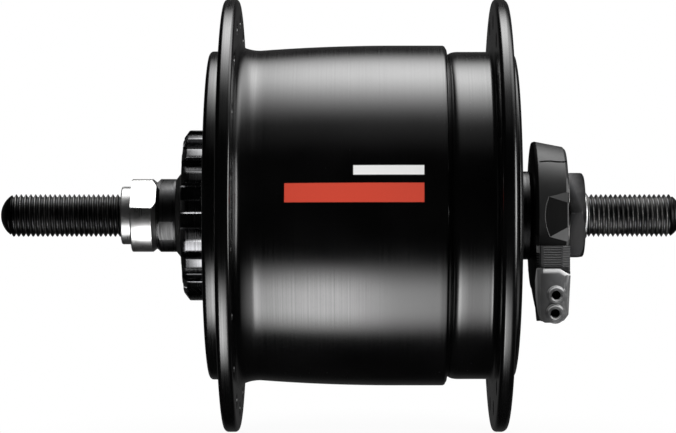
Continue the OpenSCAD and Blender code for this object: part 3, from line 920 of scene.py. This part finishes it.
right_cone_body = [
    (10.98, 33.85), (10.98, 34.3), (9.13, 34.6), (9.13, 38.7, 0.25), (8.7, 39.27, 0.15),
    (BORE_R, 39.27),
]
right_cone_profile = (
    [(BORE_R, 28.5), (8.3, 28.5)]
    + arc(11.6, 31.5, RACE_R, 188, 110, 10)
    + rounded(right_cone_body)
)
right_cone = revolve("right_cone_vis", right_cone_profile)
give(right_cone, "stator", "dark_steel", CONE_STEEL_SHADED_BELOW, "right_cone")

right_seal_profile = [
    (9.15, 34.75), (9.15, 36.1, 0.1), (9.9, 36.1, 0.2), (10.2, 35.65, 0.2),
    (13.9, 35.4, 0.15), (13.9, 34.85, 0.1), (10.2, 34.75),
]
right_seal = revolve("right_dust_seal_vis", rounded(right_seal_profile))
give(right_seal, "stator", "black_plastic", SEAL_PLASTIC, "right_dust_seal")


def right_lock_nut():
    """A hexagon with chamfered corners."""
    name, across, z0, z1 = "right_lock_nut_vis", 17.0, 46.72, 50.0
    corner_r, first_corner = across / math.sqrt(3), -3
    turns = [math.radians(60 * i + first_corner) for i in range(6)]
    ob = prism(name, [(corner_r * math.cos(q), corner_r * math.sin(q)) for q in turns],
               (z0, z1))
    # turned body that leaves the chamfers
    envelope = [(0, 46.0), (9.72, 46.0), (9.72, 46.9), (9.9, 47.1), (9.9, 48.9), (9.45, 49.3),
                (8.75, 49.72), (8.3, 49.99), (8.2, 50.4), (0, 50.4)]
    cut(ob, revolve("chamfer", envelope), "INTERSECT")
    cut(ob, rod("bore", (0, 0, z0 - 1), (0, 0, 1), z1 - z0 + 2, BORE_R, 96))
    bevel(ob, width=0.09, seg=2)
    return ob


give(right_lock_nut(), "stator", "dark_steel", NUT_STEEL, "right_lock_nut")

washer_profile = [(BORE_R, 46.22), (8.8, 46.22, 0.1), (8.8, 46.7, 0.12), (BORE_R, 46.7)]
washer = revolve("terminal_washer_vis", rounded(washer_profile, 3))
give(washer, "stator", "dark_steel", THREAD_STEEL, "terminal_washer")

lip_profile = [(4.45, 50.2), (4.86, 50.2), (4.86, 50.40), (4.56, 50.68), (4.45, 50.68)]
give(revolve("nut_bore_lip", lip_profile, 96), "stator", "dark_steel", BRIGHT_STEEL)

# --------------------------------------------------------------------------
# Terminal housing: a conical drum with a tongue reaching down and forward
# --------------------------------------------------------------------------

DRUM_R, DRUM_END_R = 15.3, 14.2
HOUSING_Z, TONGUE_Z = 39.3, 40.0  # faces of the tongue
PIN_X, PIN_Z = -11.5, (42.0, 44.2)
TOOTH_PITCH = 0.5
HOUSING_SHARP = 22

drum_profile = [
    (0, HOUSING_Z), (15.1, HOUSING_Z, 0.25), (DRUM_R, 39.9, 0.3), (DRUM_END_R, 45.62, 0.25),
    (13.6, 46.2, 0.3), (0, 46.2),
]
# (x, y, fillet radius)
tongue_outline = [
    (10.1, -11.5), (0, -14.9, 6), (-6.4, -17.0, 4), (-9.6, -17.9, 3), (-12.7, -18.65, 3),
    (-15.8, -20.6, 2), (-18.8, -21.8, 0.4), (-18.8, -9.5, 1.5), (-14.8, -3.9), (0, 0),
]
# (x, y) of what is cut from the tongue's front edge, below and above
notch_outline = [(-19.5, -10.38), (-17.6, -10.38), (-17.2, -10.78), (-17.2, -23.0),
                 (-19.5, -23.0)]
front_outline = [(-19.5, -4.0), (-17.35, -6.2), (-17.35, -10.5), (-19.5, -10.5)]


def housing_tongue():
    ob = prism("tongue", rounded(tongue_outline), (HOUSING_Z, TONGUE_Z))
    cut(ob, prism("notch", notch_outline, (39.0, 40.5)))
    cut(ob, prism("front", front_outline, (39.0, 40.5)))
    for i in range(8):
        y = -6.6 - i * TOOTH_PITCH
        tick = [(-17.0, y), (-17.6, y + 0.24), (-17.6, y - 0.24)]
        cut(ob, prism("tick", tick, (39.0, 39.75)))
    return ob


def scoop_tool():
    """The pocket in the drum's front: a tilted floor with two flared walls."""

    def section(z, floor, opening, floor_height):
        (top, bottom), (floor_top, floor_bottom), front = opening, floor_height, -17.0
        return [(front, top, z), (floor, floor_top, z), (floor, floor_bottom, z),
                (front, bottom, z)]

    return bridge(
        "scoop",
        section(40.7, floor=-15.45, opening=(5.7, -7.2), floor_height=(4.2, -5.1)),
        section(46.8, floor=-10.5, opening=(9.2, -11.9), floor_height=(2.4, -2.0)),
    )


housing = revolve("terminal_housing_vis", rounded(drum_profile, 5), 192)


def shape_housing(tool, op="DIFFERENCE"):
    cut(housing, tool, op, HOUSING_SHARP)


shape_housing(housing_tongue(), "UNION")
shape_housing(block("wall", x=(-8.0, -5.8), y=(-16.6, -4.6), z=(39.6, 45.8)), "UNION")
shape_housing(scoop_tool())
shape_housing(rod("bore", (0, 0, 39), (0, 0, 1), 8, BORE_R, 96))
shape_housing(block("channel", x=(-1.4, 1.4), y=(-7.7, -3.2), z=(40.9, 45.1)))
for pin_z in PIN_Z:
    shape_housing(block("run", x=(-11.2, 0.3), y=(-7.7, -6.3), z=(pin_z - 0.7, pin_z + 0.7)))
    shape_housing(rod("pinhole", (PIN_X, -12, pin_z), (0, 1, 0), 5.78, 0.57))
bevel(housing, width=0.12, seg=2, angle=45)
give(housing, "stator", "black_plastic", HOUSING_PLASTIC, "terminal_housing")

# --------------------------------------------------------------------------
# Cable plug
# --------------------------------------------------------------------------

SEAT_GAP = 0.06
PLUG_Z, PLUG_TOP_Z = 40.06, 46.25
PLUG_FRONT, PLUG_BACK = -17.3, -8.05


def drum_seat():
    """The drum with a little clearance, to be cut from what sits against it."""
    seat_r = DRUM_R + SEAT_GAP
    return revolve("seat", [(0, 38), (seat_r, 38), (seat_r, 39.92),
                            (DRUM_END_R + SEAT_GAP, 45.62), (13.8, 46.4), (0, 46.4)])


def cut_grooves(ob, count, span, place):
    """Grooves spaced along y between ribs; u of the outline points out of the surface."""
    for i in range(count):
        y = -6.55 - i * TOOTH_PITCH
        outline = [(0.3, y + 0.27), (-0.02, y + 0.24), (-0.22, y), (-0.02, y - 0.24),
                   (0.3, y - 0.27)]
        cut(ob, prism("rib", outline, span, place))


# (x, z, fillet radius)
plug_outline = [(PLUG_FRONT, PLUG_Z, 0.25), (PLUG_FRONT, 44.7, 0.12),
                (-14.9, PLUG_TOP_Z, 0.3), (PLUG_BACK, PLUG_TOP_Z, 0.3),
                (PLUG_BACK, PLUG_Z, 0.2)]
# (y, z)
heel_outline = [(-10.1, 44.0), (-10.1, PLUG_TOP_Z), (-11.8, PLUG_TOP_Z), (-10.36, 44.13)]

plug = prism("plug_body_vis", rounded(plug_outline, 3), (-10.35, -6.1), along_y)
cut(plug, prism("heel", heel_outline, (-15.2, -8.1), along_x), "UNION")
cut(plug, drum_seat())
# on the front face, then on the slope between it and the outer face
cut_grooves(plug, 8, (40.75, 44.3), lambda u, v, w: (PLUG_FRONT - u, v, w))
cut_grooves(plug, 10, (-3.0, 9.0), lambda u, v, w: (
    -15.7 - 0.543 * u + 0.840 * w, v, 45.73 + 0.840 * u + 0.543 * w))

# the core reaches down into the cover; each socket has its own lower end
core = block("core", x=(-16.8, -9.3), y=(-20.0, -10.2), z=(40.97, 45.18))
for pin_z, socket_end in zip(PIN_Z, (-15.9, -19.2)):
    low = socket_end - 0.03
    cut(core, rod("socket", (PIN_X, low, pin_z), (0, 1, 0), 12, 0.83))
    cut(plug, rod("socket", (PIN_X, -12, pin_z), (0, 1, 0), 8, 0.64))
    cut(core, block("leg", x=(-17.5, PIN_X), y=(low, socket_end + 0.43),
                    z=(pin_z - 0.33, pin_z + 0.33)))
cut(plug, core, "UNION")
bevel(plug, width=0.04, seg=1, angle=60)
give(plug, "plug", "black_plastic", PLUG_PLASTIC, "plug_body")

# --------------------------------------------------------------------------
# Plug cover
# --------------------------------------------------------------------------

WIRE_ENTRIES = ((-15.95, 43.2), (-19.6, 43.0))  # (y, z)
COVER_FRONT, ROLL_R = -18.0, 1.35

# (y, z, fillet radius)
cover_outline = [
    (-10.5, PLUG_Z, 0.3), (-10.5, 44.1, 0.5), (-11.9, 46.15, 0.5), (-19.9, 45.7, 0.7),
    (-21.1, 44.7, 0.7), (-21.5, 43.2, 0.7), (-21.5, 40.9, 0.5), (-20.9, PLUG_Z, 0.3),
]
# (x, z, fillet radius)
cover_plan = [(COVER_FRONT, 39.5), (COVER_FRONT, 44.75, 0.45), (-17.15, 46.5), (-7.5, 46.5),
              (-7.5, 39.5)]
# (y, z, fillet radius)
lip_outline = [
    (-10.5, 40.6), (-10.5, 39.25, 0.35), (-13.0, 38.95, 2), (-16.5, 39.05, 2),
    (-19.5, 39.5, 2), (-21.2, 40.0, 0.4), (-21.2, 40.6),
]
# (radius, x)
boss_profile = [
    (0, -17.2), (2.1, -17.2), (2.1, -17.96), (1.9, -18.02), (1.78, -18.12), (1.71, -18.28),
    (1.69, -18.5), (1.64, -18.68), (1.53, -18.80), (1.38, -18.85), (1.05, -18.85),
    (0, -18.85),
]


def roll_outline(centre):
    """What is cut away to roll over a front edge whose arc is centred at v = centre."""
    return (
        [(-19.0, centre + 2.85)]
        + arc(COVER_FRONT + ROLL_R, centre, ROLL_R, 90, 180, 9)
        + [(-19.0, centre)]
    )


def boss(y, z):
    """A round boss with a soft front edge."""
    return revolve("boss", boss_profile, 56, lambda u, v, w: (w, y + u, z + v))


plug_cover = prism("plug_cover_vis", rounded(cover_outline), (-18.0, -8.1), along_x)
cut(plug_cover, prism("plan", rounded(cover_plan), (-23, -9), along_y), "INTERSECT")
# the front edges of the top and of the slope beside it are rolled over
cut(plug_cover, prism("top_edge", roll_outline(-11.85), (39.0, 47.0)))
cut(plug_cover, prism("slant_edge", roll_outline(-ROLL_R), (-3.0, 4.0), lambda u, v, w: (
    u, -11.2 + v * 0.826 - w * 0.564, 45.125 + v * 0.564 + w * 0.826)))
cut(plug_cover, prism("lip", rounded(lip_outline), (-17.98, -17.27), along_x), "UNION")
bevel(plug_cover, width=0.22, seg=3, angle=40)
for y, z in WIRE_ENTRIES:
    cut(plug_cover, boss(y, z), "UNION")
cut(plug_cover, drum_seat())
cut(plug_cover, block("cavity", x=(-17.3, -9.2), y=(-20.6, -9.5), z=(40.9, 45.25)))
for y, z in WIRE_ENTRIES:
    cut(plug_cover, rod("entry", (-19, y, z), (1, 0, 0), 3, 0.9))
    cut(plug_cover, rod("lead_in", (-18.95, y, z), (1, 0, 0), 0.55, 1.3, end_r=0.9))
give(plug_cover, "plug_cover", "grey_plastic", COVER_PLASTIC, "plug_cover")

# --------------------------------------------------------------------------
# Inner parts keep their CAD shape and get their own finish
# --------------------------------------------------------------------------

BRASS = dict(dark=(0.60, 0.42, 0.16), pale=(0.74, 0.54, 0.24), rough=0.26, line_depth=0.4)


def winding():
    """Enamelled wire: one ridge per turn, along the axle and across the faces."""
    mat = Finish("copper_winding", Metallic=1.0)
    wave = mat.waves(mat.add(mat.y, mat.radius()), pitch=0.00045)
    tone = mat.noise(scale=700.0, detail=3.0)
    mat.set("Base Color", mat.mix(mat.ramp(tone), (0.42, 0.13, 0.045), (0.62, 0.24, 0.10)))
    mat.set("Roughness", mat.ramp(mat.noise(scale=3000.0), to=(0.22, 0.36)))
    mat.set("Normal", mat.bump(wave, distance=1.2e-4, strength=0.8))
    return mat


def laminated(name):
    """Stacked steel sheets: thin dark joints along the axle."""
    mat = Finish(name, Metallic=1.0)
    joint = mat.ramp(mat.waves(mat.y, pitch=0.0005), span=(0.8, 1.0))
    tone = mat.noise(scale=400.0)
    mat.set("Base Color", mat.mix(mat.ramp(tone), (0.30, 0.31, 0.32), (0.46, 0.47, 0.48)))
    mat.tint(joint, (0.10, 0.10, 0.11))
    mat.set("Roughness", mat.ramp(tone, to=(0.34, 0.5)))
    mat.set("Normal", mat.bump(mat.mul(joint, -1.0), distance=4e-5, strength=0.7))
    return mat


def ferrite():
    mat = Finish("ferrite", Metallic=0.3)
    grain = mat.noise(scale=5000.0, roughness=0.7)
    chips = mat.noise(scale=300.0, detail=5.0)
    mat.set("Base Color", mat.mix(mat.ramp(grain), (0.035, 0.035, 0.038),
                                  (0.065, 0.065, 0.07)))
    mat.set("Roughness", mat.ramp(grain, to=(0.55, 0.75)))
    normal = mat.bump(grain, distance=2e-5, strength=0.5)
    mat.set("Normal", mat.bump(chips, distance=8e-5, strength=0.4, normal=normal))
    return mat


def wires():
    """Two leads, one brown-red and one black, told apart by their side of the groove."""
    mat = Finish("lead_insulation", Roughness=0.42, IOR=1.5)
    side = mat.ramp(mat.x, span=(-0.0001, 0.0001))
    tone = mat.noise(scale=1500.0, detail=3.0)
    red = mat.mix(tone, (0.34, 0.03, 0.02), (0.45, 0.05, 0.03))
    black = mat.mix(tone, (0.02, 0.02, 0.02), (0.035, 0.035, 0.035))
    mat.set("Base Color", mat.mix(side, black, red))
    mat.set("Normal", mat.bump(tone, distance=2e-5, strength=0.4))
    return mat


def contact_metal():
    """Brass sockets, darker at their feet next to the wire entries."""
    mat = steel("contact_plated", **BRASS)
    mat.tint(mat.ramp(mat.x, span=(-0.0168, -0.0166), to=FALL), (0.035, 0.034, 0.033))
    return mat


plain_steel = steel("plain_steel", dark=(0.36, 0.365, 0.37), pale=(0.50, 0.505, 0.51),
                    rough=0.34, speckle=0.2)
bearing_steel = steel("bearing_steel", dark=(0.62, 0.63, 0.64), pale=(0.74, 0.75, 0.76),
                      rough=0.12, line_depth=0.15, line_scale=5200.0)
cage_steel = steel("cage_steel", dark=(0.40, 0.36, 0.28), pale=(0.52, 0.46, 0.35),
                   line_depth=0.4)
contact_brass = steel("contact_brass", **BRASS)
laminated_steel = laminated("laminated_steel")
nylon = plastic("bobbin_nylon", dark=(0.62, 0.58, 0.47), pale=(0.72, 0.68, 0.57), rough=0.45)
rubber = plastic("rubber_black", dark=(0.012, 0.012, 0.012), pale=(0.022, 0.022, 0.022),
                 rough=0.62)

INNER_FINISHES = {
    "left_claw_plate": laminated_steel,
    "right_claw_plate": laminated_steel,
    "stator_core": laminated_steel,
    "magnet_yoke": plain_steel,
    "stator_clamp_nut": plain_steel,
    "stator_snap_ring": plain_steel,
    "magnets": ferrite(),
    "coil_winding": winding(),
    "coil_bobbin": nylon,
    "left_o_ring": rubber,
    "right_o_ring": rubber,
    "left_balls": bearing_steel,
    "right_balls": bearing_steel,
    "left_bearing_cup": bearing_steel,
    "right_bearing_cup": bearing_steel,
    "left_ball_retainer": cage_steel,
    "right_ball_retainer": cage_steel,
    "terminal_pins": contact_brass,
    "plug_contacts": contact_metal(),
    "lead_wires": wires(),
}
for node_name, finish in INNER_FINISHES.items():
    inner_part = NODES[node_name]
    if not inner_part.material_slots:
        inner_part.data.materials.append(finish.material)
    for slot in inner_part.material_slots:
        slot.material = finish.material

# --------------------------------------------------------------------------
# Studio: pale floor, white backdrop, soft lights drawn in the world
# --------------------------------------------------------------------------


class WorldGraph(Graph):
    math_inputs = 2


def studio():
    # strengths of the lights
    overhead, below, terminal_end, behind, everywhere, matt_fill = 8.7, 15.6, 9.0, 0.05, 0.005, 0.6

    world = bpy.data.worlds.new("studio")
    scene.world = world
    sky = WorldGraph(world)
    x, y, z = sky.split(sky.node("ShaderNodeTexCoord").outputs["Generated"])
    # angle round the axle in degrees, 0 towards the camera, 90 straight up
    angle = sky.mul(sky.math("ARCTAN2", z, sky.mul(x, -1.0)), 180 / math.pi)
    axial = sky.mul(y, -1.0)  # towards the terminal side

    # overhead light with a faint skirt on the camera's side
    rise = sky.add(sky.ramp(angle, span=(63, 105)),
                   sky.ramp(angle, span=(40, 62), to=(0, 0.035)))
    top = sky.mul(rise, sky.ramp(angle, span=(104, 144), to=FALL))
    ends = sky.mul(sky.ramp(axial, span=(0.06, 0.22), to=(1, 0.5)),
                   sky.ramp(axial, span=(0.55, 0.95), to=FALL))
    top = sky.mul(top, sky.mul(sky.ramp(axial, span=(-0.28, -0.03)), ends))

    # light from below and in front
    low = sky.mul(sky.ramp(angle, span=(-91, -65)),
                  sky.ramp(angle, span=(-55, -28), to=FALL))
    ends = sky.mul(sky.ramp(axial, span=(-0.10, 0.06), to=(1, 0.16)),
                   sky.ramp(axial, span=(0.06, 0.6), to=FALL))
    low = sky.mul(low, sky.mul(sky.ramp(axial, span=(-0.27, -0.06)), ends))

    # a small light at the terminal end, a little in front of the axle's line
    toward = sky.add(sky.mul(x, -0.14), sky.add(sky.mul(y, -0.987), sky.mul(z, 0.07)))
    side = sky.ramp(toward, span=(0.925, 0.985))
    back = sky.ramp(sky.math("ABSOLUTE", angle), span=(140, 165))

    total = sky.add(sky.mul(top, overhead), sky.mul(low, below))
    total = sky.add(total, sky.mul(side, terminal_end))
    total = sky.add(total, sky.mul(back, behind))
    total = sky.add(total, everywhere)
    # an even fill that only matt surfaces take up
    diffuse_ray = sky.node("ShaderNodeLightPath").outputs["Is Diffuse Ray"]
    total = sky.add(total, sky.mul(diffuse_ray, matt_fill))

    # the camera sees plain white
    camera_ray = sky.node("ShaderNodeLightPath").outputs["Is Camera Ray"]
    mix = sky.node("ShaderNodeMixShader")
    sky.put(mix.inputs[0], camera_ray)
    for socket, strength in zip(mix.inputs[1:], (total, 1.0)):
        background = sky.node("ShaderNodeBackground")
        background.inputs["Color"].default_value = (1, 1, 1, 1)
        sky.put(background.inputs["Strength"], strength)
        sky.put(socket, background.outputs[0])
    out = sky.node("ShaderNodeOutputWorld")
    sky.put(out.inputs[0], mix.outputs[0])
    world.cycles.sampling_method = "MANUAL"
    world.cycles.sample_map_resolution = 1024


def floor_material():
    """Glows white with only a soft contact shade, so that it blends into the backdrop."""
    material = bpy.data.materials.new("floor_pale")
    graph = Graph(material)
    out = graph.node("ShaderNodeOutputMaterial")
    glow = graph.node("ShaderNodeEmission")
    occlusion = graph.node("ShaderNodeAmbientOcclusion")
    occlusion.inputs["Distance"].default_value = 0.05
    occlusion.samples = 16
    contact = graph.node("ShaderNodeMapRange")
    contact.inputs["From Min"].default_value = 0.15
    contact.inputs["From Max"].default_value = 0.95
    contact.inputs["To Min"].default_value = 0.96
    contact.inputs["To Max"].default_value = 1.0
    graph.put(contact.inputs["Value"], occlusion.outputs["AO"])
    graph.put(glow.inputs["Strength"], contact.outputs["Result"])
    graph.put(out.inputs[0], glow.outputs[0])
    return material


def add_floor():
    bpy.ops.mesh.primitive_grid_add(
        x_subdivisions=8, y_subdivisions=8, size=6.0, location=(0, 0, -0.04475))
    floor = bpy.context.object
    floor.name = "studio_floor"
    floor.data.materials.append(floor_material())
    floor.visible_glossy = False
    floor.visible_diffuse = False
    floor.visible_transmission = False
    floor.visible_shadow = False


def add_camera():
    """A long lens level with the axle, looking to the rear."""
    data = bpy.data.cameras.new("camera")
    data.sensor_width = 36.0
    data.lens = 141.6
    data.shift_x = -0.0355
    data.shift_y = -0.0015
    data.clip_start = 0.01
    data.clip_end = 50
    camera = link("camera", data)
    camera.location = (-0.5505, -0.0043, 0.0)
    camera.rotation_euler = (math.pi / 2, 0, -math.pi / 2)
    scene.camera = camera


studio()
add_floor()
add_camera()
scene.view_settings.view_transform = "Standard"
scene.view_settings.look = "None"
scene.cycles.use_denoising = True
